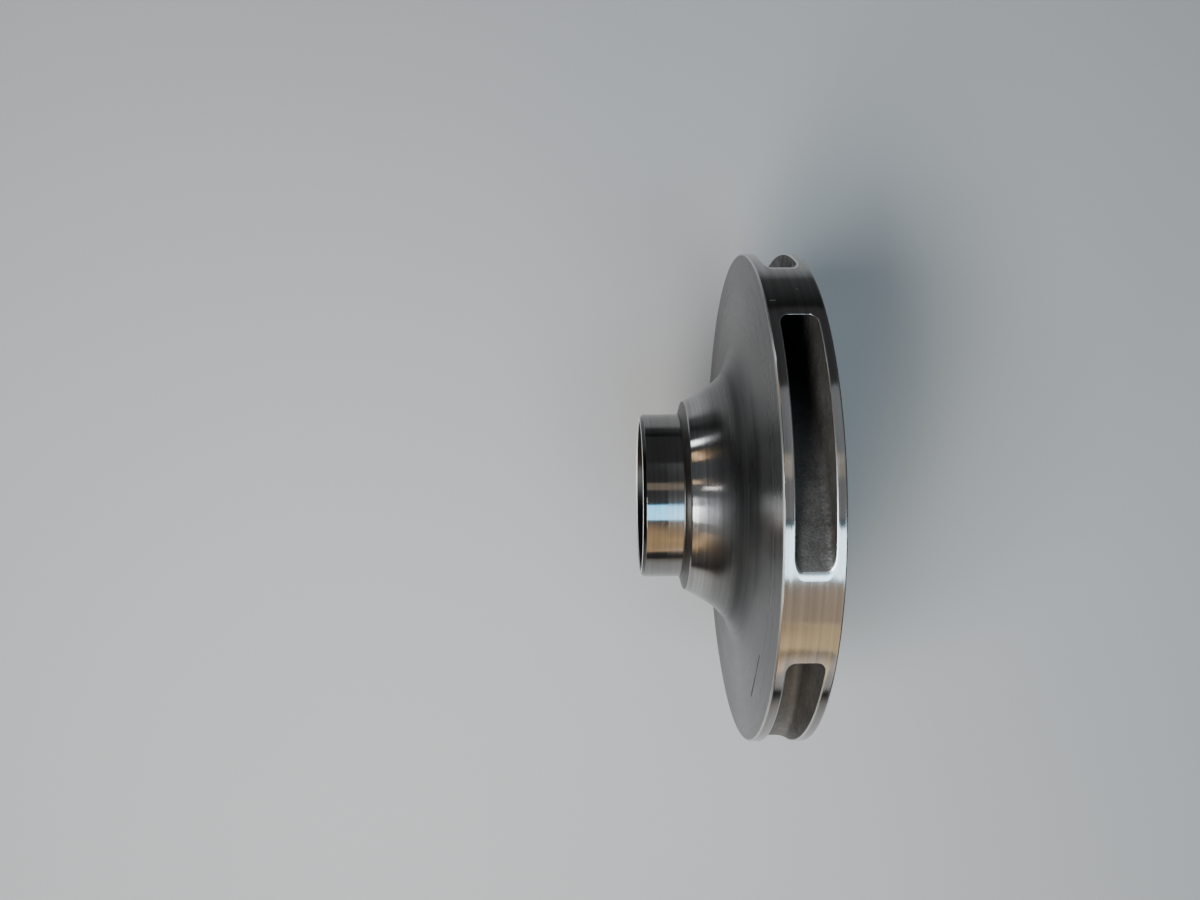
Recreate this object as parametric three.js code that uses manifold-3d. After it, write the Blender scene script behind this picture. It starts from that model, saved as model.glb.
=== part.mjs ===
// Closed centrifugal pump impeller, cast in one piece and turned outside, standing on its rim.
// Millimetres. Each profile is drawn as (radius, height), with the height measured along the shaft
// axis from the back face towards the suction eye. The whole is then laid over so that the shaft
// axis runs along X, with the back face at +X and the suction eye at -X.

import * as THREE from 'three';
import { LoftGeometry } from 'three/addons/geometries/LoftGeometry.js';
import { mergeVertices } from 'three/addons/utils/BufferGeometryUtils.js';
import Module from 'manifold-3d';

const wasm = await Module();
wasm.setup();

// Driving dimensions of the turned outside
const RIM_RADIUS = 88;
const RIM_WIDTH = 18;
const TOTAL_LENGTH = 54;
const COLLAR_RADIUS = 30.2;
const COLLAR_CHAMFER = 1.3;
const SHOULDER_FOOT = 39.4;
const SHOULDER_HEIGHT = 38.1;
const SHOULDER_RADIUS = 34.8;
const EDGE_BREAK = 0.4;

// The flare is two arcs, a flat one below the shoulder and a tight one into the front wall
const FLARE_NECK = { r: 89.6, z: 62.96, radius: 60, from: 215, to: 205 };
const FLARE_FOOT = { r: 58.04, z: 40.87, radius: 21.5, from: 266, to: 215 };

// Hub, bore and keyway
const HUB_RADIUS = 20;
const HUB_CHAMFER = 1;
const BORE_RADIUS = 9;
const BORE_CHAMFER = 0.8;
const NOSE_HEIGHT = 25;
const KEYWAY_WIDTH = 6;
const KEYWAY_TOP = 11.8;

// Recess turned into the back face round the hub
const RECESS_RADIUS = 53;
const RECESS_LIP = 20;
const RECESS_SLOPE_DEGREES = 22;
const RECESS_FILLET = 4;

// Inside walls of the water passages
const EYE_RADIUS = 28;
const EYE_CHAMFER = 0.6;
const THROAT = { r: 51, z: SHOULDER_HEIGHT, radius: 23, endDegrees: 268 };
const OUTLET_LOW = 3.1;
const OUTLET_HIGH = 14.5;
const HUB_CURVE = [[66, 3.4], [46, 4], [22, 9.6], [18.5, NOSE_HEIGHT]];

// Five passages, each between two vanes of one logarithmic spiral
const VANE_COUNT = 5;
const VANE_ANGLE_DEGREES = 23;
const SLOT_START_DEGREES = 40.3;
const SLOT_SPAN_DEGREES = 52.8;
const VANE_NOSE_RADIUS = 31;
const VANE_NOSE_LENGTH = 3.5;
const PASSAGE_CORNER = 2.6;
const LEAST_CORNER_SHARE = 0.1;
const STRETCH_AT_START = 1.6;
const STRETCH_AT_END = 2.3;
const PAST_RIM = 3;
const INLET_OVERLAP = 0.15;
const SPIRAL_TIP_INSIDE = 14;
const SPIRAL_TIP_OUTSIDE = 123;

// Where the casting is divided into its named regions
const DIVIDE = 1;
const GAP = 0.3;
const HUB_DIVIDE = 26;
const BEYOND = 5;

// Fineness of the faceting
const TURN_SEGMENTS = 60;
const FLARE_NECK_STEPS = 1;
const FLARE_FOOT_STEPS = 5;
const RECESS_LIP_STEPS = 3;
const RECESS_FILLET_STEPS = 4;
const THROAT_STEPS = 6;
const HUB_STEPS = 7;
const PASSAGE_STEPS = 9;
const NOSE_STEPS = 2;
const CORNER_STEPS = 2;
const SIDE_STEPS = 5;

const FULL_TURN = 2 * Math.PI;
const PITCH = FULL_TURN / VANE_COUNT;
const radians = THREE.MathUtils.degToRad;

// Points on an arc of a profile, from one angle to another, both in degrees
function arc(r, z, radius, from, to, steps) {
  const points = [];
  for (let i = 0; i <= steps; i++) {
    const angle = radians(from + (to - from) * i / steps);
    points.push([r + radius * Math.cos(angle), z + radius * Math.sin(angle)]);
  }
  return points;
}

function arcOf({ r, z, radius, from, to }, steps) {
  return arc(r, z, radius, from, to, steps);
}

// A closed mesh with shared vertices becomes a solid
function solidOf(geometry) {
  geometry.deleteAttribute('normal');
  geometry.deleteAttribute('uv');
  const merged = mergeVertices(geometry);
  const index = merged.index.array;
  const triangles = [];
  for (let i = 0; i < index.length; i += 3) {
    const [a, b, c] = [index[i], index[i + 1], index[i + 2]];
    if (a !== b && b !== c && c !== a) triangles.push(a, b, c);
  }
  return new wasm.Manifold(new wasm.Mesh({
    numProp: 3,
    vertProperties: merged.attributes.position.array,
    triVerts: new Uint32Array(triangles),
  }));
}

// The same, the other way round
function geometryOf(solid) {
  const mesh = solid.getMesh();
  const geometry = new THREE.BufferGeometry();
  geometry.setAttribute('position', new THREE.BufferAttribute(mesh.vertProperties, 3));
  geometry.setIndex(new THREE.BufferAttribute(mesh.triVerts, 1));
  geometry.computeVertexNormals();
  return geometry;
}

// A profile that goes round anticlockwise is turned about the shaft axis
function turned(profile) {
  const closed = [...profile, profile[0]].map(([r, z]) => new THREE.Vector2(r, z));
  const geometry = new THREE.LatheGeometry(closed, TURN_SEGMENTS, FULL_TURN / TURN_SEGMENTS / 2);
  geometry.rotateX(Math.PI / 2);
  return solidOf(geometry);
}

// Inner side of the front wall, from the eye outwards
function throatCurve(offset) {
  const { r, z, radius, endDegrees } = THROAT;
  const points = arc(r, z, radius + offset, 180, endDegrees, THROAT_STEPS);
  const rim = RIM_RADIUS + PAST_RIM;
  points.push([rim, OUTLET_HIGH - offset]);
  return points;
}

// Inner side of the back wall, from the rim inwards to the hub nose
function hubCurve(offset) {
  const [a, b, c, d] = HUB_CURVE.map(([r, z]) => new THREE.Vector2(r, z));
  const curve = new THREE.CubicBezierCurve(a, b, c, d);
  const points = [[RIM_RADIUS + PAST_RIM, OUTLET_LOW + offset]];
  for (let i = 0; i <= HUB_STEPS; i++) {
    const at = curve.getPoint(i / HUB_STEPS);
    const along = curve.getTangent(i / HUB_STEPS);
    points.push([at.x + along.y * offset, at.y - along.x * offset]);
  }
  return points;
}

// Height of such a curve at a radius
function heightAt(curve, radius) {
  for (let i = 1; i < curve.length; i++) {
    const [[r0, z0], [r1, z1]] = [curve[i - 1], curve[i]];
    if ((radius - r0) * (radius - r1) <= 0) return z0 + (z1 - z0) * (radius - r0) / (r1 - r0);
  }
  return curve[curve.length - 1][1];
}

// The outside as turned, still without its passages
function turnedBlank() {
  const slope = radians(RECESS_SLOPE_DEGREES);
  const lip = arc(RECESS_RADIUS, RECESS_LIP, RECESS_LIP, 270, 270 - RECESS_SLOPE_DEGREES, RECESS_LIP_STEPS);
  const [lipR, lipZ] = lip[lip.length - 1];
  const filletR = HUB_RADIUS + RECESS_FILLET;
  const filletZ = lipZ + (lipR - filletR) * Math.tan(slope) - RECESS_FILLET / Math.cos(slope);
  const start = 90 - RECESS_SLOPE_DEGREES;
  const fillet = arc(filletR, filletZ, RECESS_FILLET, start, 180, RECESS_FILLET_STEPS);
  const back = [...lip, ...fillet].reverse();
  const foot = arcOf(FLARE_FOOT, FLARE_FOOT_STEPS);
  const neck = arcOf(FLARE_NECK, FLARE_NECK_STEPS);
  return turned([
    [BORE_RADIUS, BORE_CHAMFER],
    [BORE_RADIUS + BORE_CHAMFER, 0],
    [HUB_RADIUS - HUB_CHAMFER, 0],
    [HUB_RADIUS, HUB_CHAMFER],
    ...back,
    [RIM_RADIUS - EDGE_BREAK, 0],
    [RIM_RADIUS, EDGE_BREAK],
    [RIM_RADIUS, RIM_WIDTH - EDGE_BREAK],
    [RIM_RADIUS - EDGE_BREAK, RIM_WIDTH],
    ...foot,
    ...neck.slice(1),
    [SHOULDER_RADIUS, SHOULDER_HEIGHT],
    [COLLAR_RADIUS, SHOULDER_FOOT],
    [COLLAR_RADIUS, TOTAL_LENGTH - COLLAR_CHAMFER],
    [COLLAR_RADIUS - COLLAR_CHAMFER, TOTAL_LENGTH],
    [BORE_RADIUS, TOTAL_LENGTH],
  ]);
}

// The open space of the eye, down to the hub nose and the vane noses
function eyeSpace() {
  const throat = throatCurve(0);
  const hub = hubCurve(0);
  const inlet = VANE_NOSE_RADIUS + INLET_OVERLAP;
  const hubPart = hub.filter(([r]) => r < inlet).reverse();
  const throatPart = throat.filter(([r]) => r < inlet).reverse();
  return turned([
    [0, NOSE_HEIGHT],
    ...hubPart,
    [inlet, heightAt(hub, inlet)],
    [inlet, heightAt(throat, inlet)],
    ...throatPart,
    [EYE_RADIUS, TOTAL_LENGTH - EYE_CHAMFER],
    [EYE_RADIUS + 2 * EYE_CHAMFER, TOTAL_LENGTH + EYE_CHAMFER],
    [0, TOTAL_LENGTH + EYE_CHAMFER],
  ]);
}

// Angle that a vane surface has turned back at a radius
function sweepAt(radius) {
  return Math.log(RIM_RADIUS / radius) / Math.tan(radians(VANE_ANGLE_DEGREES));
}

// Radii at which the spiral solids have their sections, closer together at the vane noses
function stations() {
  const radii = [VANE_NOSE_RADIUS - GAP];
  for (let i = 0; i <= NOSE_STEPS; i++) {
    const along = 1 - Math.cos(i / NOSE_STEPS * Math.PI / 2);
    radii.push(VANE_NOSE_RADIUS + VANE_NOSE_LENGTH * along);
  }
  const first = VANE_NOSE_RADIUS + VANE_NOSE_LENGTH;
  const last = RIM_RADIUS + PAST_RIM;
  for (let i = 1; i <= PASSAGE_STEPS; i++) radii.push(first * (last / first) ** (i / PASSAGE_STEPS));
  return radii;
}

// A rounded rectangle lying on the cylinder of a radius, between two angles and two heights
function section(radius, from, to, low, high, corner) {
  const early = corner * STRETCH_AT_START / radius;
  const late = corner * STRETCH_AT_END / radius;
  const flat = [];
  const round = (angle, height, start, wide) => {
    for (let i = 0; i <= CORNER_STEPS; i++) {
      const at = radians(start + 90 * i / CORNER_STEPS);
      flat.push([angle + wide * Math.cos(at), height + corner * Math.sin(at)]);
    }
  };
  const side = (start, end, height) => {
    for (let i = 1; i < SIDE_STEPS; i++) flat.push([start + (end - start) * i / SIDE_STEPS, height]);
  };
  round(to - late, high - corner, 0, late);
  side(to - late, from + early, high);
  round(from + early, high - corner, 90, early);
  round(from + early, low + corner, 180, early);
  side(from + early, to - late, low);
  round(to - late, low + corner, 270, late);
  return flat.reverse().map(([angle, height]) => {
    const theta = sweepAt(radius) - angle;
    return new THREE.Vector3(radius * Math.cos(theta), radius * Math.sin(theta), height);
  });
}

// A section shrunk to the point that closes one end of a spiral solid
function tip(points, radius) {
  const middle = new THREE.Vector3();
  for (const point of points) middle.addScaledVector(point, 1 / points.length);
  const scale = radius / Math.hypot(middle.x, middle.y);
  middle.set(middle.x * scale, middle.y * scale, middle.z);
  return points.map(() => middle.clone());
}

// A solid skinned over the sections that a function gives at each radius
function spiral(sectionAt) {
  const sections = stations().map(sectionAt);
  const inner = tip(sections[0], SPIRAL_TIP_INSIDE);
  const outer = tip(sections[sections.length - 1], SPIRAL_TIP_OUTSIDE);
  const loft = new LoftGeometry([inner, ...sections, outer]);
  return solidOf(new THREE.BufferGeometry().copy(loft));
}

// The water passage that leaves the rim after a turn
function passage(turn) {
  const span = radians(SLOT_SPAN_DEGREES);
  const hub = hubCurve(0);
  const throat = throatCurve(0);
  return spiral((radius) => {
    const past = radius - VANE_NOSE_RADIUS;
    const nose = THREE.MathUtils.clamp(1 - past / VANE_NOSE_LENGTH, 0, 1);
    const spare = (PITCH - span) * (1 - Math.sqrt(1 - nose * nose)) / 2;
    const share = THREE.MathUtils.clamp(past / VANE_NOSE_LENGTH, LEAST_CORNER_SHARE, 1);
    const corner = share * PASSAGE_CORNER;
    return section(radius, turn - spare, turn + span + spare,
      heightAt(hub, radius), heightAt(throat, radius), corner);
  });
}

// The share of the wheel that holds one vane, from mid passage to mid passage
function vaneSector(turn) {
  const middle = turn - PITCH + radians(SLOT_SPAN_DEGREES) / 2;
  return spiral((radius) => section(radius, middle, middle + PITCH, -BEYOND, TOTAL_LENGTH, DIVIDE));
}

// A ring of material to keep or cut, between two radii and two heights
function ring(inner, outer, low, high) {
  return turned([[inner, low], [outer, low], [outer, high], [inner, high]]);
}

// The casting: the turned blank with its eye, passages and keyway cut
function casting() {
  const beyondRim = RIM_RADIUS + BEYOND;
  const reach = ring(VANE_NOSE_RADIUS - GAP / 2, beyondRim, -BEYOND, TOTAL_LENGTH);
  let solid = turnedBlank().subtract(eyeSpace());
  for (let i = 0; i < VANE_COUNT; i++) {
    solid = solid.subtract(passage(slotTurn(i)).intersect(reach));
  }
  const keyway = new THREE.BoxGeometry(KEYWAY_TOP, KEYWAY_WIDTH, NOSE_HEIGHT + 2 * BEYOND);
  keyway.translate(-KEYWAY_TOP / 2, 0, NOSE_HEIGHT / 2);
  return solid.subtract(solidOf(keyway));
}

// Angle at which a slot starts, counted from the top of the standing wheel
function slotTurn(i) {
  return i * PITCH - radians(SLOT_START_DEGREES);
}

// Regions of the casting
function frontRegion() {
  const throat = throatCurve(DIVIDE);
  const beyondRim = RIM_RADIUS + PAST_RIM;
  const top = SHOULDER_FOOT + DIVIDE;
  return turned([...throat, [beyondRim, top], [throat[0][0], top]]);
}

function backRegion() {
  const inner = HUB_DIVIDE + GAP;
  const curve = hubCurve(DIVIDE);
  const top = curve.filter(([r]) => r > inner);
  const beyondRim = RIM_RADIUS + PAST_RIM;
  return turned([[inner, -BEYOND], [beyondRim, -BEYOND], ...top, [inner, heightAt(curve, inner)]]);
}

function vaneRegion() {
  const inner = VANE_NOSE_RADIUS - DIVIDE;
  const low = hubCurve(DIVIDE + GAP);
  const high = throatCurve(DIVIDE + GAP);
  return turned([
    [inner, heightAt(low, inner)],
    ...low.filter(([r]) => r > inner).reverse(),
    ...high.filter(([r]) => r > inner).reverse(),
    [inner, heightAt(high, inner)],
  ]);
}

const machined = { color: 0x8d8a87, roughness: 0.28, metalness: 1 };
const cast = { color: 0x5d5750, roughness: 0.7, metalness: 0.9 };

const wheel = new THREE.Group();

function add(name, solid, finish) {
  const mesh = new THREE.Mesh(geometryOf(solid), new THREE.MeshStandardMaterial(finish));
  mesh.name = name;
  wheel.add(mesh);
}

const whole = casting();
const collarFoot = SHOULDER_FOOT + DIVIDE + GAP;
add('front_shroud', whole.intersect(frontRegion()), machined);
add('eye_collar', whole.intersect(ring(0, SHOULDER_RADIUS, collarFoot, TOTAL_LENGTH + 1)), machined);
add('back_shroud', whole.intersect(backRegion()), machined);
add('hub', whole.intersect(ring(0, HUB_DIVIDE, -1, NOSE_HEIGHT + 1)), machined);
const vanes = whole.intersect(vaneRegion());
for (let i = 0; i < VANE_COUNT; i++) {
  add(`vane_${i + 1}`, vanes.intersect(vaneSector(slotTurn(i))), cast);
}

// The shaft axis is laid along X, and the wheel stands on its rim with its middle over the origin
wheel.rotation.y = -Math.PI / 2;
wheel.position.set(TOTAL_LENGTH / 2, 0, RIM_RADIUS * Math.cos(FULL_TURN / TURN_SEGMENTS / 2));

const impeller = new THREE.Group();
impeller.add(wheel);
impeller.updateMatrixWorld(true);

export default impeller;
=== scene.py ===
# Closed centrifugal pump impeller: one stainless casting, turned outside and left as cast inside.
# The mesh is built in millimetres from the shaft axis, with heights from the back face towards the
# suction eye, and is then laid into the frame, where the shaft axis runs along X.

import math

import bmesh
import bpy
import numpy as np
from mathutils import Matrix, Vector, noise


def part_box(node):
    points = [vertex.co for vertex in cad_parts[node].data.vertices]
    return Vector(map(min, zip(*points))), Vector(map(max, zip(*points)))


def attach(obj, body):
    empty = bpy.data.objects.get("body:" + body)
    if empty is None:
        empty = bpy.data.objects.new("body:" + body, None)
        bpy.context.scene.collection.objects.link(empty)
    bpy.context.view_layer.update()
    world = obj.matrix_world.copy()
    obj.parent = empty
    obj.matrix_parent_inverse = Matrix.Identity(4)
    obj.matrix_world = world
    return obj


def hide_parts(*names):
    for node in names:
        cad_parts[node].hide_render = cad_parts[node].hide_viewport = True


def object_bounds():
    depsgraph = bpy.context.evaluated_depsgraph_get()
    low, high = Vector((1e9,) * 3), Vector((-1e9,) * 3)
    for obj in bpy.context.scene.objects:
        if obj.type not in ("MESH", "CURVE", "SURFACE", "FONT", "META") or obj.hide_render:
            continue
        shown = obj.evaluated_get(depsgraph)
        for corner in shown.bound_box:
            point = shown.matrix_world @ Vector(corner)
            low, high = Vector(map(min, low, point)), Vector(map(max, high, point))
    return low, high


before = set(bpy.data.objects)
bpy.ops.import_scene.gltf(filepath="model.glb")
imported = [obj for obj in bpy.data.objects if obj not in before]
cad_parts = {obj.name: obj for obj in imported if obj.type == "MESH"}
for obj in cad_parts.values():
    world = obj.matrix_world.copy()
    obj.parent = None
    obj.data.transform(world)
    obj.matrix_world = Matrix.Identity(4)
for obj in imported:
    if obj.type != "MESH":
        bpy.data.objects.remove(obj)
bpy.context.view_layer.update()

MM = 0.001

# Where the frame holds the impeller
BACK_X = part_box("back_shroud")[1][0]
LENGTH = (BACK_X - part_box("eye_collar")[0][0]) / MM
AXIS_Z = sum(corner[2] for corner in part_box("front_shroud")) / 2
RIM_RADIUS = 88.0

# Turned outside
RIM_WIDTH = 18.0
RIM_LOW = 0.8
RIM_HIGH = RIM_WIDTH - 1.2
COLLAR_RADIUS = 30.2
COLLAR_CHAMFER = 1.3
COARSE_END = 45.5
SHOULDER_FOOT = 39.4
SHOULDER_HEIGHT = 38.1
SHOULDER_RADIUS = 34.8
FLARE_NECK = {"r": 89.6, "z": 62.96, "radius": 60.0, "start": 215, "end": 205, "steps": 8}
FLARE_FOOT = {"r": 58.04, "z": 40.87, "radius": 21.5, "start": 265, "end": 215, "steps": 22}
FRONT_EDGE = {"along": 0.55, "deep": 0.4}
BACK_EDGE = 0.45

# Hub, bore and recess
HUB_RADIUS = 20.0
HUB_CHAMFER = 1.0
FLAT_RADIUS = 14.0
BORE_RADIUS = 9.0
BORE_CHAMFER = 0.8
NOSE_HEIGHT = 25.0
NOSE_RADIUS = 18.5
NOSE_CHAMFER = 0.5
NOSE_CLEAR = 0.3
KEYWAY_HALF = 3.0
KEYWAY_TOP = 11.8
RECESS_RADIUS = 53.0
RECESS_LIP = 20.0
RECESS_SLOPE = math.radians(22)
RECESS_FILLET = 4.0

# Water passages
EYE_RADIUS = 28.0
THROAT = {"r": 51.0, "z": SHOULDER_HEIGHT, "radius": 23.0}
THROAT_END = 268
OUTLET_LOW = 3.1
OUTLET_HIGH = 14.5
PAST_RIM = 3.0
HUB_CURVE = ((66, 3.4), (46, 4.0), (22, 9.6), (NOSE_RADIUS, NOSE_HEIGHT))
VANES = 5
VANE_ANGLE = math.radians(23)
SLOT_START = math.radians(-40.3)
SLOT_SPAN = math.radians(52.8)
VANE_NOSE = 31.0
VANE_NOSE_LENGTH = 3.5
CORNER = 2.6
STRETCH_AT_START = 1.6
STRETCH_AT_END = 2.3

# Rounding of the slot edges: on the long sides, and at the two ends
LIP_SIDE = 0.45
LIP_AT_END = 1.6
LIP_AT_START = 0.5
LIP_LESS_DEEP_AT_START = 0.2
LIP_ROWS = 4

# Rounding of the other edges: the radii, the points on each, and a guard point on either side
FINE_EDGE = 0.08
HUB_EDGE = 0.15
NOSE_EDGE = 0.6
ROUNDING_STEPS = 3
ROUNDING_GUARD = 0.12
CHAMFER_GUARD = 0.15

# Fineness of the mesh: columns in one fifth of the wheel, and how a passage section is divided
COLUMNS = 60
CORNER_STEPS = 8
SIDE_STEPS = 4
RISERS = SIDE_STEPS + CORNER_STEPS
TOPS = COLUMNS - CORNER_STEPS
FAN_ROWS = 5
FAN_EASE = 0.6
RECESS_STEPS = 12
THROAT_ROWS = 14
THROAT_STEPS = 60
HUB_CURVE_POINTS = 121
HUB_ROW_STEP = 3
KEYWAY_COLUMNS = {"top": 5, "wall": 9, "bore": 13}
NEAR_SLOT = {"start": 0.7, "length": 11.3, "rows": 21, "crowding": 1.4}
MIDDLE_ROWS = 21
NOSE_ROWS = 10
WELD_DIGITS = 4

# Uneven cast walls: waves per mm with their height, and the distance from the rim where they are full
CAST_WAVES = ((0.16, 0.16), (0.6, 0.07))
CAST_FADE = 4.0
CAST_SEED = 5

PITCH = 2 * math.pi / VANES
ALL_COLUMNS = VANES * COLUMNS


# Curves of the profile

def arc(r, z, radius, start, end, steps):
    """Points on an arc from one angle to another, in degrees."""
    angles = np.radians(np.linspace(start, end, steps + 1))
    return [(r + radius * math.cos(a), z + radius * math.sin(a)) for a in angles]


def throat_points():
    """Inner side of the front wall, from the eye outwards."""
    points = arc(**THROAT, start=180, end=THROAT_END, steps=THROAT_STEPS)
    return np.array(points + [(RIM_RADIUS + PAST_RIM, OUTLET_HIGH)])


def hub_points():
    """Inner side of the back wall, from the hub nose outwards."""
    a, b, c, d = (np.array(p, float) for p in HUB_CURVE)
    t = np.linspace(0, 1, HUB_CURVE_POINTS)[:, None]
    curve = (1 - t) ** 3 * a + 3 * t * (1 - t) ** 2 * b + 3 * t * t * (1 - t) * c + t ** 3 * d
    return np.vstack([[(RIM_RADIUS + PAST_RIM, OUTLET_LOW)], curve])[::-1]


THROAT_POINTS = throat_points()
HUB_POINTS = hub_points()


def throat_height(radius):
    return np.interp(radius, THROAT_POINTS[:, 0], THROAT_POINTS[:, 1])


def hub_height(radius):
    return np.interp(radius, HUB_POINTS[:, 0], HUB_POINTS[:, 1])


def sweep(radius):
    """How far a vane has turned back at a radius."""
    return np.log(RIM_RADIUS / radius) / math.tan(VANE_ANGLE)


def rounded(corners, before=None):
    """A profile through corners (r, z, rounding): for each corner its rounding, with a guard point
    on either side, or the plain point."""
    corner_points = []
    for i, (r, z, radius) in enumerate(corners):
        here = np.array((r, z), float)
        if radius == 0:
            corner_points.append([tuple(here)])
            continue
        back = np.array(corners[i - 1][:2] if i else before, float) - here
        ahead = np.array(corners[i + 1][:2], float) - here
        back_unit = back / np.linalg.norm(back)
        ahead_unit = ahead / np.linalg.norm(ahead)
        half = math.acos(np.clip(back_unit @ ahead_unit, -1, 1)) / 2
        reach = radius / math.tan(half)
        start = here + back_unit * reach
        end = here + ahead_unit * reach
        points = [tuple(here + back_unit * (reach + ROUNDING_GUARD))]
        for t in np.linspace(0, 1, ROUNDING_STEPS + 1):
            points.append(tuple((1 - t) ** 2 * start + 2 * t * (1 - t) * here + t * t * end))
        points.append(tuple(here + ahead_unit * (reach + ROUNDING_GUARD)))
        corner_points.append(points)
    return corner_points


def zoned(corner_points, straights, roundings):
    """Points with their zones: one for the straight before each corner, one for its rounding."""
    marked = []
    for points, straight, rounding in zip(corner_points, straights, roundings):
        marked.append((points[0], straight))
        marked.extend((point, rounding) for point in points[1:])
    return marked


def plain(corner_points):
    return [point for points in corner_points for point in points]


# Mesh store: rings of points joined to the ring before

class Skin:
    def __init__(self):
        self.rings = []
        self.faces = []
        self.zones = []
        self.count = 0

    def ring(self, points):
        start = self.count
        self.rings.append(points)
        self.count += len(points)
        return start

    def join(self, a, b, size, zone):
        """Quads between two closed rings of the same size."""
        for i in range(size):
            j = (i + 1) % size
            self.faces.append((a + i, a + j, b + j, b + i))
            self.zones.append(zone)

    def sheet(self, rings, zones):
        """Rings in turn, each joined to the last, with a zone for each join."""
        before = self.ring(rings[0])
        for points, zone in zip(rings[1:], zones):
            start = self.ring(points)
            self.join(before, start, len(points), zone)
            before = start


def placed(radius, angle, height):
    """Points of the wheel: the angle is counted from the top, towards -Y."""
    radius, angle, height = np.broadcast_arrays(radius, angle, height)
    return np.stack([radius * np.cos(angle), -radius * np.sin(angle), height], axis=1).astype(float)


# Passage sections

def section(low, high, spare, radius):
    """One section of a passage as angles and heights, starting at the middle of the top right corner."""
    past = np.clip((radius - VANE_NOSE) / VANE_NOSE_LENGTH, 0, 1)
    corner = CORNER * past
    early = corner * STRETCH_AT_START / radius
    late = corner * STRETCH_AT_END / radius
    left, right = -spare, SLOT_SPAN + spare
    top = np.linspace(right - late, left + early, TOPS + 1)[1:-1]
    side = np.linspace(high - corner, low + corner, SIDE_STEPS + 1)[1:-1]
    quarter = np.linspace(0, math.pi / 2, CORNER_STEPS + 1)
    angles, heights = [], []

    def turn(at, height, start, wide):
        angles.extend(at + wide * np.cos(quarter + start))
        heights.extend(height + corner * np.sin(quarter + start))

    turn(right - late, high - corner, 0, late)
    angles.extend(top)
    heights.extend([high] * len(top))
    turn(left + early, high - corner, math.pi / 2, early)
    angles.extend([left] * len(side))
    heights.extend(side)
    turn(left + early, low + corner, math.pi, early)
    angles.extend(top[::-1])
    heights.extend([low] * len(top))
    turn(right - late, low + corner, 1.5 * math.pi, late)
    angles.extend([right] * len(side))
    heights.extend(side[::-1])
    shift = CORNER_STEPS // 2
    return np.roll(angles, -shift), np.roll(heights, -shift)


def passage_ring(radius):
    """Angles and heights of a passage at a radius, swept back, and widening round the vane noses."""
    nose = np.clip(1 - (radius - VANE_NOSE) / VANE_NOSE_LENGTH, 0, 1)
    spare = (PITCH - SLOT_SPAN) * (1 - math.sqrt(1 - nose * nose)) / 2
    angles, heights = section(hub_height(radius), throat_height(radius), spare, radius)
    return angles - sweep(radius), heights


def cell_border():
    """The border of one fifth of the rim, in step with the points of a section."""
    middle = SLOT_SPAN / 2
    left, right = middle - PITCH / 2, middle + PITCH / 2
    across = np.linspace(right, left, COLUMNS + 1)
    up = np.linspace(RIM_HIGH, RIM_LOW, RISERS + 1)
    angles = np.concatenate([
        across[:-1],
        np.full(RISERS, left),
        across[::-1][:-1],
        np.full(RISERS, right),
    ])
    heights = np.concatenate([
        np.full(COLUMNS, RIM_HIGH),
        up[:-1],
        np.full(COLUMNS, RIM_LOW),
        up[::-1][:-1],
    ])
    return angles, heights


def outline_normals(angles, heights):
    """Outward normals of the slot outline on the unrolled rim."""
    across = angles * RIM_RADIUS
    da = np.roll(across, -1) - np.roll(across, 1)
    dz = np.roll(heights, -1) - np.roll(heights, 1)
    length = np.hypot(da, dz)
    return dz / length, -da / length


def passage_radii():
    """Radii of the passage sections, from the slot inwards: close together at the slot and the vane nose."""
    steps = np.linspace(0, 1, NEAR_SLOT["rows"]) ** NEAR_SLOT["crowding"]
    near = RIM_RADIUS - NEAR_SLOT["start"] - NEAR_SLOT["length"] * steps
    middle = np.geomspace(near[-1], VANE_NOSE + VANE_NOSE_LENGTH, MIDDLE_ROWS)[1:]
    rounding = 1 - np.sin(np.linspace(0, math.pi / 2, NOSE_ROWS))
    nose = VANE_NOSE + VANE_NOSE_LENGTH * rounding[1:]
    return np.concatenate([near, middle, nose])


def add_passage(skin, turn):
    """The rim round one slot, the rounded slot edge, and the passage behind it."""
    angles, heights = passage_ring(RIM_RADIUS)
    out_a, out_z = outline_normals(angles, heights)
    trailing = np.clip(out_a, 0, 1) ** 2
    leading = np.clip(-out_a, 0, 1) ** 2
    lip = LIP_SIDE + (LIP_AT_END - LIP_SIDE) * trailing + (LIP_AT_START - LIP_SIDE) * leading
    depth = LIP_SIDE - LIP_LESS_DEEP_AT_START * leading

    edge_a = angles + out_a * lip / RIM_RADIUS
    edge_z = heights + out_z * lip
    border_a, border_z = cell_border()
    rings, zones = [], []
    for t in np.linspace(0, 1, FAN_ROWS):
        eased = 1 - (1 - t) ** FAN_EASE
        fan_a = border_a + (edge_a - border_a) * eased
        fan_z = border_z + (edge_z - border_z) * eased
        rings.append(placed(RIM_RADIUS, turn + fan_a, fan_z))
        zones.append("rim")

    inner = RIM_RADIUS - depth
    outer_point = rings[-1]
    sharp_point = placed(RIM_RADIUS, turn + angles, heights)
    inner_point = placed(inner, turn + angles - sweep(inner), heights)
    for t in np.linspace(0, 1, LIP_ROWS + 2)[1:]:
        rings.append((1 - t) ** 2 * outer_point + 2 * t * (1 - t) * sharp_point + t * t * inner_point)
        zones.append("edge")

    for radius in passage_radii():
        ring_a, ring_z = passage_ring(radius)
        rings.append(placed(radius, turn + ring_a, ring_z))
        zones.append("cast")
    skin.sheet(rings, zones[1:])


# Rings of the turned surfaces

def wrapped(angle):
    return (angle + math.pi) % (2 * math.pi) - math.pi


def rim_angles():
    """Column angles round the whole rim, in step with the five borders."""
    first = SLOT_START + SLOT_SPAN / 2 - PITCH / 2
    return first + np.arange(ALL_COLUMNS) * PITCH / COLUMNS


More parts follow.
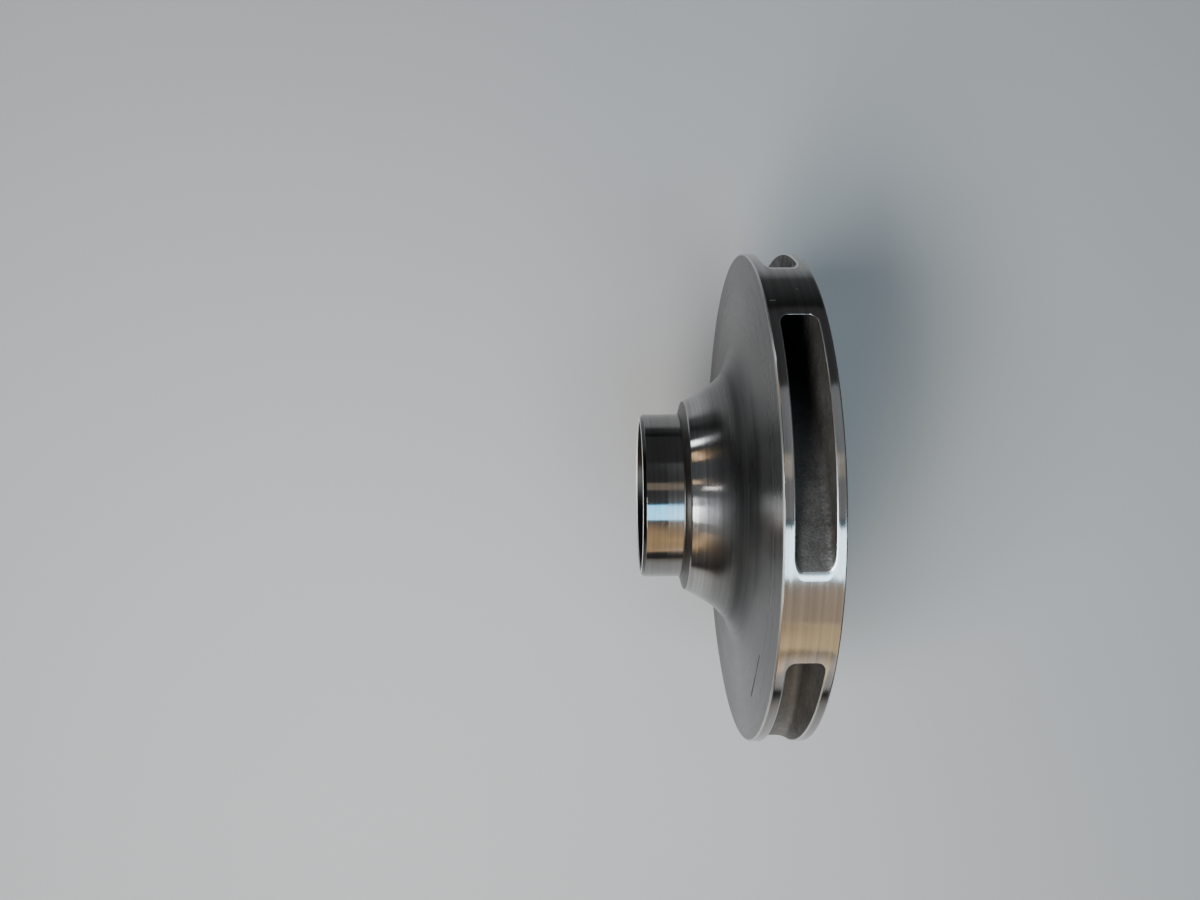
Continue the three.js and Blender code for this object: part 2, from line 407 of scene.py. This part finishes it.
def inlet_angles(side):
    """Column angles at the vane noses, from the top or the bottom of the passage sections there."""
    angles, heights = passage_ring(VANE_NOSE)
    size = 2 * (COLUMNS + RISERS)
    if side == "top":
        row = angles[:COLUMNS + 1][::-1]
        level = heights[:COLUMNS + 1][::-1]
    else:
        row = angles[COLUMNS + RISERS:size - RISERS + 1]
        level = heights[COLUMNS + RISERS:size - RISERS + 1]
    full = np.concatenate([SLOT_START + i * PITCH + row[:-1] for i in range(VANES)])
    levels = np.tile(level[:-1], VANES)
    target = rim_angles()
    best = min(range(ALL_COLUMNS), key=lambda k: abs(wrapped(full[k] - target[0])))
    full = np.roll(full, -best)
    levels = np.roll(levels, -best)
    return target + wrapped(full - target), levels


def front_profile():
    """From the rim over the front wall and the collar into the eye, down to the throat."""
    flare = arc(**FLARE_FOOT) + arc(**FLARE_NECK)[1:]
    rim = rounded([
        (RIM_RADIUS, RIM_HIGH, 0),
        (RIM_RADIUS, RIM_WIDTH - FRONT_EDGE["along"], FINE_EDGE),
        (RIM_RADIUS - FRONT_EDGE["deep"], RIM_WIDTH, FINE_EDGE),
        (flare[0][0], flare[0][1], 0),
    ])
    collar = rounded([
        (flare[-1][0], flare[-1][1], 0.06),
        (SHOULDER_RADIUS, SHOULDER_HEIGHT, FINE_EDGE),
        (COLLAR_RADIUS, SHOULDER_FOOT, 0.6),
        (COLLAR_RADIUS, COARSE_END, 0),
        (COLLAR_RADIUS, LENGTH - COLLAR_CHAMFER, 0.1),
        (COLLAR_RADIUS - COLLAR_CHAMFER, LENGTH, 0.2),
        (EYE_RADIUS, LENGTH, 0.4),
        (EYE_RADIUS, SHOULDER_HEIGHT, 0),
    ], before=flare[-2])
    rim_zones = ["rim", "rim", "edge", "face"]
    straights = ["face", "face", "step", "collar_foot", "collar", "chamfer", "mouth", "eye"]
    roundings = ["face", "step", "step", "collar_foot", "collar", "mouth", "mouth", "eye"]
    profile = zoned(rim, rim_zones, rim_zones)[:-1]
    profile += [(point, "face") for point in flare[:-1]]
    return profile + zoned(collar, straights, roundings)[:-1]


def throat_rows():
    """Points of the throat, from the eye down to the vane noses."""
    start = math.degrees(math.acos((VANE_NOSE - THROAT["r"]) / THROAT["radius"]))
    return arc(**THROAT, start=180, end=360 - start, steps=THROAT_ROWS)


def add_front(skin):
    angles = rim_angles()
    rings, zones = [], []
    for (r, z), zone in front_profile():
        rings.append(placed(r, angles, z))
        zones.append(zone)
    inlet, levels = inlet_angles("top")
    rows = throat_rows()
    for i, (r, z) in enumerate(rows):
        t = (i / (len(rows) - 1)) ** 2
        last = i == len(rows) - 1
        rings.append(placed(r, angles + (inlet - angles) * t, levels if last else z))
        zones.append("eye")
    skin.sheet(rings, zones[1:])


def bore_outline(radius, angles):
    """The bore with its keyway: radius and angle of each column."""
    middle = int(np.argmin(np.abs(wrapped(angles - math.pi))))
    top_end, wall_end, bore_end = KEYWAY_COLUMNS["top"], KEYWAY_COLUMNS["wall"], KEYWAY_COLUMNS["bore"]
    radii = np.full(len(angles), radius)
    turned = angles.copy()
    grow = radius - BORE_RADIUS
    side = KEYWAY_HALF + grow
    foot = math.sqrt(radius ** 2 - side ** 2)
    top = KEYWAY_TOP + grow
    for step in range(-bore_end, bore_end + 1):
        size = abs(step)
        sign = 1 if step > 0 else -1
        if size <= top_end:
            x, y = top, side * step / top_end
        elif size <= wall_end:
            x, y = top + (foot - top) * (size - top_end) / (wall_end - top_end), sign * side
        else:
            begin = math.atan2(side, foot)
            finish = bore_end * PITCH / COLUMNS
            at = begin + (finish - begin) * (size - wall_end) / (bore_end - wall_end)
            x, y = radius * math.cos(at), sign * radius * math.sin(at)
        radii[middle + step] = math.hypot(x, y)
        turned[middle + step] = angles[middle] + math.atan2(y, x)
    return radii, turned


def back_profile():
    """From the rim over the back face and the recess to the flat end of the hub."""
    slope = math.degrees(RECESS_SLOPE)
    lip = arc(RECESS_RADIUS, RECESS_LIP, RECESS_LIP, 270, 270 - slope, RECESS_STEPS)
    fillet_r = HUB_RADIUS + RECESS_FILLET
    lip_r, lip_z = lip[-1]
    fillet_z = lip_z + (lip_r - fillet_r) * math.tan(RECESS_SLOPE) - RECESS_FILLET / math.cos(RECESS_SLOPE)
    fillet = arc(fillet_r, fillet_z, RECESS_FILLET, 90 - slope, 180, RECESS_STEPS)
    rim = plain(rounded([(RIM_RADIUS, RIM_LOW, 0), (RIM_RADIUS, 0, BACK_EDGE), (RECESS_RADIUS, 0, 0)]))
    hub = plain(rounded([
        (HUB_RADIUS, fillet_z, 0),
        (HUB_RADIUS, HUB_CHAMFER, HUB_EDGE),
        (HUB_RADIUS - HUB_CHAMFER, 0, HUB_EDGE),
        (FLAT_RADIUS, 0, 0),
    ]))
    profile = [(point, "back") for point in rim[:-1] + lip[:1]]
    profile += [(point, "recess") for point in lip[1:] + fillet[:-2]]
    return profile + [(point, "hub") for point in fillet[-2:-1] + hub]


def bore_rows():
    """How much wider than the bore each of its rings is, and its height: from the back to the nose."""
    return (
        (BORE_CHAMFER + CHAMFER_GUARD, 0),
        (BORE_CHAMFER, 0),
        (0, BORE_CHAMFER),
        (0, BORE_CHAMFER + CHAMFER_GUARD),
        (0, NOSE_HEIGHT - NOSE_CHAMFER - CHAMFER_GUARD),
        (0, NOSE_HEIGHT - NOSE_CHAMFER),
        (NOSE_CHAMFER, NOSE_HEIGHT),
        (NOSE_CHAMFER + CHAMFER_GUARD, NOSE_HEIGHT),
    )


def add_back(skin):
    """From the rim over the back face, the recess and the hub, through the bore to the hub nose."""
    angles = rim_angles()
    rings, zones = [], []
    for (r, z), zone in back_profile():
        rings.append(placed(r, angles, z))
        zones.append(zone)

    for wider, height in bore_rows():
        radii, turned = bore_outline(BORE_RADIUS + wider, angles)
        rings.append(placed(radii, turned, height))
        zones.append("hub")

    beside_nose = (HUB_POINTS[:, 0] > NOSE_RADIUS + NOSE_CLEAR) & (HUB_POINTS[:, 0] < VANE_NOSE)
    rows = HUB_POINTS[beside_nose][HUB_ROW_STEP::HUB_ROW_STEP]
    nose = rounded([(FLAT_RADIUS, NOSE_HEIGHT, 0), (NOSE_RADIUS, NOSE_HEIGHT, NOSE_EDGE), (*rows[0], 0)])
    for r, z in plain(nose[:-1]):
        rings.append(placed(r, angles, z))
        zones.append("hub")

    inlet, levels = inlet_angles("bottom")
    for i, (r, z) in enumerate(rows):
        t = (i / len(rows)) ** 2
        rings.append(placed(r, angles + (inlet - angles) * t, z))
        zones.append("cast")
    rings.append(placed(VANE_NOSE, inlet, levels))
    zones.append("cast")
    skin.sheet(rings, zones[1:])


# The casting as one mesh

def build_casting():
    skin = Skin()
    for i in range(VANES):
        add_passage(skin, SLOT_START + i * PITCH)
    add_front(skin)
    add_back(skin)
    return skin


def welded(skin):
    """The points of a skin without doubles, and its faces with their zones."""
    points = np.round(np.concatenate(skin.rings), WELD_DIGITS)
    unique, index = np.unique(points, axis=0, return_inverse=True)
    index = index.reshape(-1)
    faces, zones = [], []
    for face, zone in zip(skin.faces, skin.zones):
        merged = []
        for corner in face:
            if not merged or index[corner] != merged[-1]:
                merged.append(int(index[corner]))
        if merged[0] == merged[-1]:
            merged.pop()
        if len(merged) >= 3:
            faces.append(merged)
            zones.append(zone)
    return unique, faces, zones


def cast_share(points, faces, zones):
    """1 at a point inside a passage, falling to 0 towards the rim, and 0 on all turned faces."""
    share = np.zeros(len(points))
    for face, zone in zip(faces, zones):
        if zone == "cast":
            share[face] = 1
    for face, zone in zip(faces, zones):
        if zone != "cast":
            share[face] = 0
    radius = np.hypot(points[:, 0], points[:, 1])
    return share * np.clip((RIM_RADIUS - radius) / CAST_FADE, 0, 1)


def cast_waves(points, share):
    """Uneven walls left by the casting core, as a shift along all three directions."""
    noise.seed_set(CAST_SEED)
    moved = points.copy()
    for i in np.flatnonzero(share > 0):
        place = Vector(points[i])
        shift = Vector()
        for per_mm, height in CAST_WAVES:
            shift += noise.noise_vector(place * per_mm) * height
        moved[i] += np.array(shift) * share[i]
    return moved


def flip_outward(mesh):
    """All faces turned so that their normals point out of the casting."""
    work = bmesh.new()
    work.from_mesh(mesh)
    bmesh.ops.recalc_face_normals(work, faces=work.faces)
    open_edges = sum(1 for edge in work.edges if len(edge.link_faces) != 2)
    work.to_mesh(mesh)
    work.free()
    print("casting:", len(mesh.polygons), "faces,", open_edges, "open edges")


def mesh_object(name, skin):
    points, faces, zones = welded(skin)
    points = cast_waves(points, cast_share(points, faces, zones))
    world = np.stack([BACK_X - points[:, 2] * MM, points[:, 1] * MM, AXIS_Z + points[:, 0] * MM], axis=1)
    mesh = bpy.data.meshes.new(name)
    mesh.from_pydata([tuple(p) for p in world], [], faces)
    mesh.validate()
    names = list(dict.fromkeys(zones))
    for zone in names:
        mesh.materials.append(FINISHES[zone].material)
    mesh.polygons.foreach_set("material_index", [names.index(zone) for zone in zones])
    mesh.polygons.foreach_set("use_smooth", [True] * len(faces))
    flip_outward(mesh)
    thing = bpy.data.objects.new(name, mesh)
    bpy.context.scene.collection.objects.link(thing)
    return thing


# Materials

class Nodes:
    """A small helper that adds nodes to one material and links them."""

    def __init__(self, name):
        self.material = bpy.data.materials.new(name)
        self.material.use_nodes = True
        self.tree = self.material.node_tree
        self.shader = self.tree.nodes["Principled BSDF"]

    def add(self, kind, inputs=(), **settings):
        node = self.tree.nodes.new(kind)
        for key, value in settings.items():
            setattr(node, key, value)
        for key, value in dict(inputs).items():
            self.feed(node, key, value)
        return node

    def feed(self, node, key, value):
        if hasattr(value, "node"):
            self.tree.links.new(value, node.inputs[key])
        else:
            node.inputs[key].default_value = value

    def shade(self, **values):
        """Values or links for the shader's sockets, with _ for a space in their names."""
        for key, value in values.items():
            self.feed(self.shader, key.replace("_", " "), value)

    def source(self, key):
        """The output that feeds one of the shader's sockets."""
        return self.shader.inputs[key].links[0].from_socket

    def math(self, operation, a, b=0.0):
        return self.add("ShaderNodeMath", {0: a, 1: b}, operation=operation).outputs[0]

    def vector(self, operation, a, b):
        return self.add("ShaderNodeVectorMath", {0: a, 1: b}, operation=operation).outputs[0]

    def scaled(self, vector, factor):
        return self.add("ShaderNodeVectorMath", {0: vector, "Scale": factor}, operation="SCALE").outputs[0]

    def noise(self, vector, scale=1.0, detail=3.0, rough=0.55):
        inputs = {"Vector": vector, "Scale": scale, "Detail": detail, "Roughness": rough}
        return self.add("ShaderNodeTexNoise", inputs).outputs["Fac"]

    def ramp(self, value, low, high, to_low=0, to_high=1):
        inputs = {"Value": value, "From Min": low, "From Max": high, "To Min": to_low, "To Max": to_high}
        return self.add("ShaderNodeMapRange", inputs).outputs["Result"]

    def weighted(self, *parts):
        """The sum of sockets, each times its weight."""
        terms = [self.math("MULTIPLY", value, weight) for value, weight in parts]
        total = terms[0]
        for term in terms[1:]:
            total = self.math("ADD", total, term)
        return total

    def blend(self, factor, a, b):
        node = self.add("ShaderNodeMix", {"Factor": factor, 6: a, 7: b}, data_type="RGBA")
        return node.outputs[2]

    def bump(self, height, distance, strength=1.0, normal=None):
        inputs = {"Height": height, "Distance": distance, "Strength": strength}
        if normal is not None:
            inputs["Normal"] = normal
        return self.add("ShaderNodeBump", inputs).outputs["Normal"]

    def place(self):
        """The place on the object, which is the place in the frame."""
        return self.add("ShaderNodeTexCoord").outputs["Object"]

    def on_lathe(self):
        """Place along the shaft, radius and angle from the top to either side, so that no seam shows."""
        split = self.add("ShaderNodeSeparateXYZ", {0: self.place()})
        x, y = split.outputs["X"], split.outputs["Y"]
        z = self.math("SUBTRACT", split.outputs["Z"], AXIS_Z)
        squares = self.math("ADD", self.math("MULTIPLY", y, y), self.math("MULTIPLY", z, z))
        return x, self.math("SQRT", squares), self.math("ABSOLUTE", self.math("ARCTAN2", y, z))

    def lathe_vector(self, along, around):
        """Texture space drawn out round the wheel, so that any noise in it looks turned."""
        x, radius, angle = self.on_lathe()
        inputs = {
            "X": self.math("MULTIPLY", x, along),
            "Y": self.math("MULTIPLY", radius, along),
            "Z": self.math("MULTIPLY", angle, around),
        }
        return self.add("ShaderNodeCombineXYZ", inputs).outputs[0]

    def scratch(self, place, start, end, width):
        """One along the line between two points, falling to nothing at a width from it."""
        line = end - start
        here = self.vector("SUBTRACT", place, start)
        share = {0: here, 1: line / line.length_squared}
        along = self.add("ShaderNodeVectorMath", share, operation="DOT_PRODUCT").outputs["Value"]
        foot = self.scaled(line, self.ramp(along, 0, 1))
        away = self.add("ShaderNodeVectorMath", {0: here, 1: foot}, operation="DISTANCE").outputs["Value"]
        return self.ramp(away, width * SCRATCH_CORE, width, 1, 0)


# Turned steel: texture steps per metre across the grooves, and per radian along them
GROOVES = {"lines": (5200, 0.7), "bands": (900, 0.35), "passes": (210, 0.25)}
CLOUD_SCALE = 38
SPECK_SCALE = 2600
STAIN_SHADE = 0.6
SPECK_SHARE = 0.35
WORN_RANGE = (0.84, 1.2)

# Scratches: the full part of their width, how far they stray, and their dull roughness
SCRATCH_CORE = 0.35
SCRATCH_STRAY = 0.8 * MM
SCRATCH_WANDER = 130
SCRATCH_ROUGHNESS = 0.8

# Cast skin
CAST_DARK = (0.03, 0.027, 0.024, 1)
CAST_LIGHT = (0.148, 0.138, 0.124, 1)
GRAIN_SCALE = 1500
LUMP_SCALE = 320
STAIN_SCALE = 45
LUMP_HEIGHT = 0.35 * MM
GRAIN_HEIGHT = 0.16 * MM


def times(color, factor):
    """A colour made darker or lighter, with its alpha."""
    return tuple(min(1.0, c * factor) for c in color) + (1.0,)


def turned_steel(name, color, roughness, groove, anisotropic=0.75, contrast=0.24, grazing=1.0):
    """Steel turned on a lathe: fine grooves and broader bands run round the shaft axis."""
    n = Nodes(name)
    lines = n.noise(n.lathe_vector(*GROOVES["lines"]), detail=2.0)
    bands = n.noise(n.lathe_vector(*GROOVES["bands"]), detail=4.0, rough=0.7)
    passes = n.noise(n.lathe_vector(*GROOVES["passes"]), rough=0.6)
    cloud = n.noise(n.place(), scale=CLOUD_SCALE)
    specks = n.ramp(n.noise(n.place(), scale=SPECK_SCALE, detail=1.0), 0.66, 0.74)
    tone = n.ramp(n.weighted((bands, 0.5), (passes, 0.35), (cloud, 0.15)), 0.34, 0.66)
    tint = n.blend(tone, times(color, 1 - contrast), times(color, 1 + contrast))
    stained = n.blend(n.math("MULTIPLY", specks, SPECK_SHARE), tint, times(color, STAIN_SHADE))
    worn = n.weighted((bands, 0.6), (cloud, 0.4))
    smooth, coarse = (roughness * share for share in WORN_RANGE)
    ridged = n.bump(lines, groove * MM, 0.8)
    n.shade(
        Base_Color=stained,
        Metallic=1.0,
        Specular_Tint=(grazing, grazing, grazing, 1),
        Roughness=n.ramp(worn, 0.35, 0.65, smooth, coarse),
        Anisotropic=anisotropic,
        Anisotropic_Rotation=0.25,
        Tangent=n.add("ShaderNodeTangent", direction_type="RADIAL", axis="X").outputs[0],
        Normal=n.bump(bands, groove * MM, 0.5, ridged),
    )
    return n


def coarsen_and_paint_shade(n, near, far, outer, coarser, darker, lighter):
    """Makes a finish coarser and darker by these factors from one radius to another, and lighter
    again further out. The darker colour is painted shade: a dark reflection painted round the foot
    of the flare."""
    radius = n.on_lathe()[1]
    inside = n.ramp(radius, near * MM, far * MM, 1, darker)
    outside = n.ramp(radius, far * MM, outer * MM, darker, lighter)
    shade = n.math("MAXIMUM", inside, outside)
    growth = n.ramp(radius, near * MM, far * MM, 1, coarser)
    n.shade(
        Base_Color=n.scaled(n.source("Base Color"), shade),
        Roughness=n.math("MULTIPLY", n.source("Roughness"), growth),
    )


def scar(n, marks, color):
    """Adds scratches and nicks, each a line (start, end, width) that strays a little, of one dull colour."""
    place = n.place()
    wander = {"Vector": place, "Scale": SCRATCH_WANDER, "Detail": 2.0}
    swirl = n.add("ShaderNodeTexNoise", wander).outputs["Color"]
    stray = n.scaled(n.vector("SUBTRACT", swirl, (0.5, 0.5, 0.5)), SCRATCH_STRAY)
    strayed = n.vector("ADD", place, stray)
    mask = 0.0
    for start, end, width in marks:
        mask = n.math("MAXIMUM", mask, n.scratch(strayed, start, end, width * MM))
    dull = n.add("ShaderNodeMix", {"Factor": mask, "B": SCRATCH_ROUGHNESS}, data_type="FLOAT")
    n.feed(dull, "A", n.source("Roughness"))
    n.shade(
        Base_Color=n.blend(mask, n.source("Base Color"), color),
        Metallic=n.ramp(mask, 0, 1, 1, 0),
        Roughness=dull.outputs[0],
    )


def cast_steel(name):
    """Skin of the cast passages: fine grain over soft lumps, with darker stains."""
    n = Nodes(name)
    place = n.place()
    grain = n.noise(place, scale=GRAIN_SCALE, rough=0.7)
    lumps = n.noise(place, scale=LUMP_SCALE, detail=4.0)
    stain = n.noise(place, scale=STAIN_SCALE)
    tone = n.ramp(n.weighted((grain, 0.5), (stain, 0.5)), 0.3, 0.7)
    rough = n.bump(lumps, LUMP_HEIGHT, 0.9)
    n.shade(
        Base_Color=n.blend(tone, CAST_DARK, CAST_LIGHT),
        Metallic=0.4,
        Roughness=n.ramp(lumps, 0.3, 0.7, 0.32, 0.62),
        Normal=n.bump(grain, GRAIN_HEIGHT, 0.9, rough),
    )
    return n


def on_wheel(radius, degrees, height):
    """A point of the wheel in the frame, for a mark at an angle from the top, towards -Y."""
    angle = math.radians(degrees)
    across = radius * math.sin(angle) * MM
    up = radius * math.cos(angle) * MM
    return Vector((BACK_X - height * MM, -across, AXIS_Z + up))


# A scratch across the front wall, and small nicks in the rim: start, end and width in mm
FACE_MARKS = (
    (on_wheel(71.2, 43.0, 18.7), on_wheel(72.3, 52.5, 18.7), 0.5),
    (on_wheel(72.3, 52.5, 18.7), on_wheel(74.7, 62.0, 18.6), 0.7),
)
RIM_MARKS = (
    (on_wheel(88.0, -44.8, 16.3), on_wheel(88.0, -44.9, 14.7), 0.34),
    (on_wheel(88.0, -53.8, 14.0), on_wheel(88.0, -53.3, 13.5), 0.3),
    (on_wheel(88.0, -49.0, 7.5), on_wheel(88.0, -48.7, 6.9), 0.25),
)

# The finish of each zone: colour, roughness and groove height in mm, with what else differs
# Near black steel: painted shade and dark reflection on the outer chamfer of the collar and inside the eye
PAINTED_SHADE_STEEL = (0.05, 0.048, 0.046)
FINISHES = {
    "rim": turned_steel("rim_turned", (0.37, 0.36, 0.345), 0.15, 0.008),
    "edge": turned_steel("edge_polished", (0.66, 0.66, 0.65), 0.3, 0.004, anisotropic=0.2),
    "face": turned_steel("face_turned_painted_shade", (0.4, 0.393, 0.385), 0.13, 0.006, contrast=0.42, grazing=0.85),
    # The shoulder step is darkened: painted shade in the groove between the front wall and the collar
    "step": turned_steel("step_turned_painted_shade", (0.09, 0.084, 0.077), 0.4, 0.010, anisotropic=0.3),
    "collar": turned_steel("collar_turned", (0.25, 0.243, 0.232), 0.12, 0.008),
    "collar_foot": turned_steel("collar_foot_turned", (0.26, 0.252, 0.24), 0.17, 0.012),
    "chamfer": turned_steel("chamfer_turned_painted_shade", PAINTED_SHADE_STEEL, 0.1, 0.004, anisotropic=0.2),
    # The collar's end face and its rounded edges are near white: a painted highlight along the mouth
    "mouth": turned_steel("mouth_painted_highlight", (0.92, 0.94, 0.96), 0.75, 0.004, anisotropic=0.1),
    "eye": turned_steel("eye_turned_painted_shade", PAINTED_SHADE_STEEL, 0.34, 0.010),
    "back": turned_steel("back_turned", (0.42, 0.41, 0.40), 0.24, 0.008),
    "recess": turned_steel("recess_turned", (0.38, 0.37, 0.36), 0.22, 0.008),
    "hub": turned_steel("hub_turned", (0.44, 0.43, 0.42), 0.22, 0.010),
    "cast": cast_steel("passage_cast"),
}
# The front wall's colour is darkened round the foot of the flare as painted shade, and lighter again towards
# the rim
coarsen_and_paint_shade(FINISHES["face"], near=36.5, far=46, outer=66, coarser=2.3, darker=0.14, lighter=0.37)
scar(FINISHES["face"], FACE_MARKS, (0.02, 0.018, 0.016, 1))
scar(FINISHES["rim"], RIM_MARKS, (0.07, 0.07, 0.066, 1))

casting = mesh_object("impeller_casting", build_casting())
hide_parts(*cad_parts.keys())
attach(casting, "root")


# Floor, light and camera

FLOOR_SIZE = 3.0
FLOOR_COLORS = ((0.45, 0.45, 0.45, 1), (0.49, 0.49, 0.48, 1))

# The floor turns darker at this distance from a middle, with distances along X counted in part: painted
# shade, a pool of light painted on the floor with dark floor beyond it
FAR_PAINTED_SHADE = (0.1, 0.1, 0.1, 1)
FAR_FROM = 0.23
FAR_TO = 0.33
FAR_MIDDLE = (-0.043, 0.016)
FAR_SHARE_X = 0.8

LIGHT_DISTANCE = 0.9

# The camera looks down from above, as in the photograph
FOCAL_PIXELS = 910
IMAGE_WIDTH = 1200
CAMERA_PLACE = (-42.6 * MM, 15.7 * MM, 428.2 * MM)
CAMERA_PITCH = math.radians(0.22)
CAMERA_YAW = math.radians(-0.18)
CAMERA_ROLL = math.radians(-0.46)


def floor_material():
    n = Nodes("floor_pale_painted_shade")
    place = n.place()
    pale = n.blend(n.noise(place, scale=3), *FLOOR_COLORS)
    split = n.add("ShaderNodeSeparateXYZ", {0: place})
    from_middle = n.math("ABSOLUTE", n.math("SUBTRACT", split.outputs["X"], FAR_MIDDLE[0]))
    along = n.math("MULTIPLY", from_middle, FAR_SHARE_X)
    across = n.math("SUBTRACT", split.outputs["Y"], FAR_MIDDLE[1])
    away = n.math("MAXIMUM", along, across)
    # Painted shade: the pale floor fades to dark grey outside the painted pool of light
    n.shade(Base_Color=n.blend(n.ramp(away, FAR_FROM, FAR_TO), pale, FAR_PAINTED_SHADE), Roughness=0.6)
    return n.material


def add_floor():
    mesh = bpy.data.meshes.new("floor")
    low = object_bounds()[0][2]
    signs = ((-1, -1), (1, -1), (1, 1), (-1, 1))
    mesh.from_pydata([(x * FLOOR_SIZE, y * FLOOR_SIZE, low) for x, y in signs], [], [(0, 1, 2, 3)])
    mesh.materials.append(floor_material())
    floor = bpy.data.objects.new("floor", mesh)
    bpy.context.scene.collection.objects.link(floor)


def add_light(name, tilt, bearing, size, power, color, distance=LIGHT_DISTANCE, spread=180):
    """A soft box: tilt from straight up, leaning towards a bearing counted from +X to +Y, in degrees."""
    light = bpy.data.lights.new(name, "AREA")
    light.shape = "RECTANGLE"
    light.size, light.size_y = size
    light.energy = power
    light.color = color
    light.spread = math.radians(spread)
    thing = bpy.data.objects.new(name, light)
    lean, turn = math.radians(tilt), math.radians(bearing)
    away = Vector((math.sin(lean) * math.cos(turn), math.sin(lean) * math.sin(turn), math.cos(lean)))
    across = Vector((0, 1, 0)).cross(away).normalized()
    facing = Matrix((across, away.cross(across), away)).transposed().to_4x4()
    thing.matrix_world = Matrix.Translation(Vector((0, 0, AXIS_Z)) + away * distance) @ facing
    bpy.context.scene.collection.objects.link(thing)


def add_world(color, strength):
    world = bpy.data.worlds.new("studio")
    world.use_nodes = True
    background = world.node_tree.nodes["Background"]
    background.inputs["Color"].default_value = (*color, 1)
    background.inputs["Strength"].default_value = strength
    bpy.context.scene.world = world


def add_camera():
    data = bpy.data.cameras.new("camera")
    data.sensor_width = 36
    data.lens = FOCAL_PIXELS / IMAGE_WIDTH * data.sensor_width
    camera = bpy.data.objects.new("camera", data)
    turn = Matrix.Rotation(CAMERA_YAW, 4, "Y") @ Matrix.Rotation(CAMERA_PITCH, 4, "X")
    camera.matrix_world = Matrix.Translation(CAMERA_PLACE) @ turn @ Matrix.Rotation(CAMERA_ROLL, 4, "Z")
    bpy.context.scene.collection.objects.link(camera)
    bpy.context.scene.camera = camera


add_floor()
add_world(color=(0.9, 0.93, 1.0), strength=0.08)

# Soft boxes: name, tilt, bearing, size, power and colour. First windows and skies, cool or neutral
add_light("window", 27.1, -52.3, (0.285, 0.32), 1.85, (0.68, 0.87, 1.0))
add_light("blue_window", 21, -85.3, (0.175, 0.32), 1.35, (0.17, 0.62, 1.0))
add_light("key", 38, -126, (0.2, 0.3), 1.2, (1.0, 0.98, 0.96), distance=0.75, spread=110)
add_light("left_window", 32, 200, (0.3, 0.3), 5.2, (0.88, 0.94, 1.0))
add_light("front_sky", 62, 180, (0.8, 1.2), 0.2, (0.85, 0.93, 1.0))
add_light("front_window", 47, -156, (0.05, 0.25), 0.6, (0.92, 0.96, 1.0))
add_light("far_window", 76, 128, (0.09, 0.08), 0.2, (0.92, 0.96, 1.0))
add_light("low_window", 78, -74, (0.24, 0.31), 0.15, (0.97, 0.98, 1.0))
add_light("lamp", 56, 172, (0.03, 0.03), 0.08, (1.0, 0.97, 0.94))
add_light("top_sky", 13.5, 18, (0.22, 0.37), 0.08, (0.95, 0.97, 1.0))
add_light("sky", 36, 60, (0.3, 0.5), 0.17, (0.85, 0.93, 1.0))

# Then walls that throw warm light back
add_light("warm_wall", 59, -106, (0.67, 0.95), 2.1, (1.0, 0.67, 0.34))
add_light("rose_wall", 45.5, -68, (0.24, 0.3), 0.145, (1.0, 0.77, 0.56))
add_light("gold_wall", 61.5, -72, (0.24, 0.2), 0.165, (1.0, 0.77, 0.43))
add_light("front_wall", 69, -131, (0.09, 0.42), 0.12, (1.0, 0.68, 0.34))
add_light("far_wall", 64, 137, (0.07, 0.15), 0.09, (1.0, 0.68, 0.36))
add_light("near_wall", 47, 161, (0.05, 0.06), 0.03, (1.0, 0.72, 0.42))
add_light("warm_strip", 14, 90, (0.5, 0.15), 0.1, (1.0, 0.8, 0.56))
add_camera()
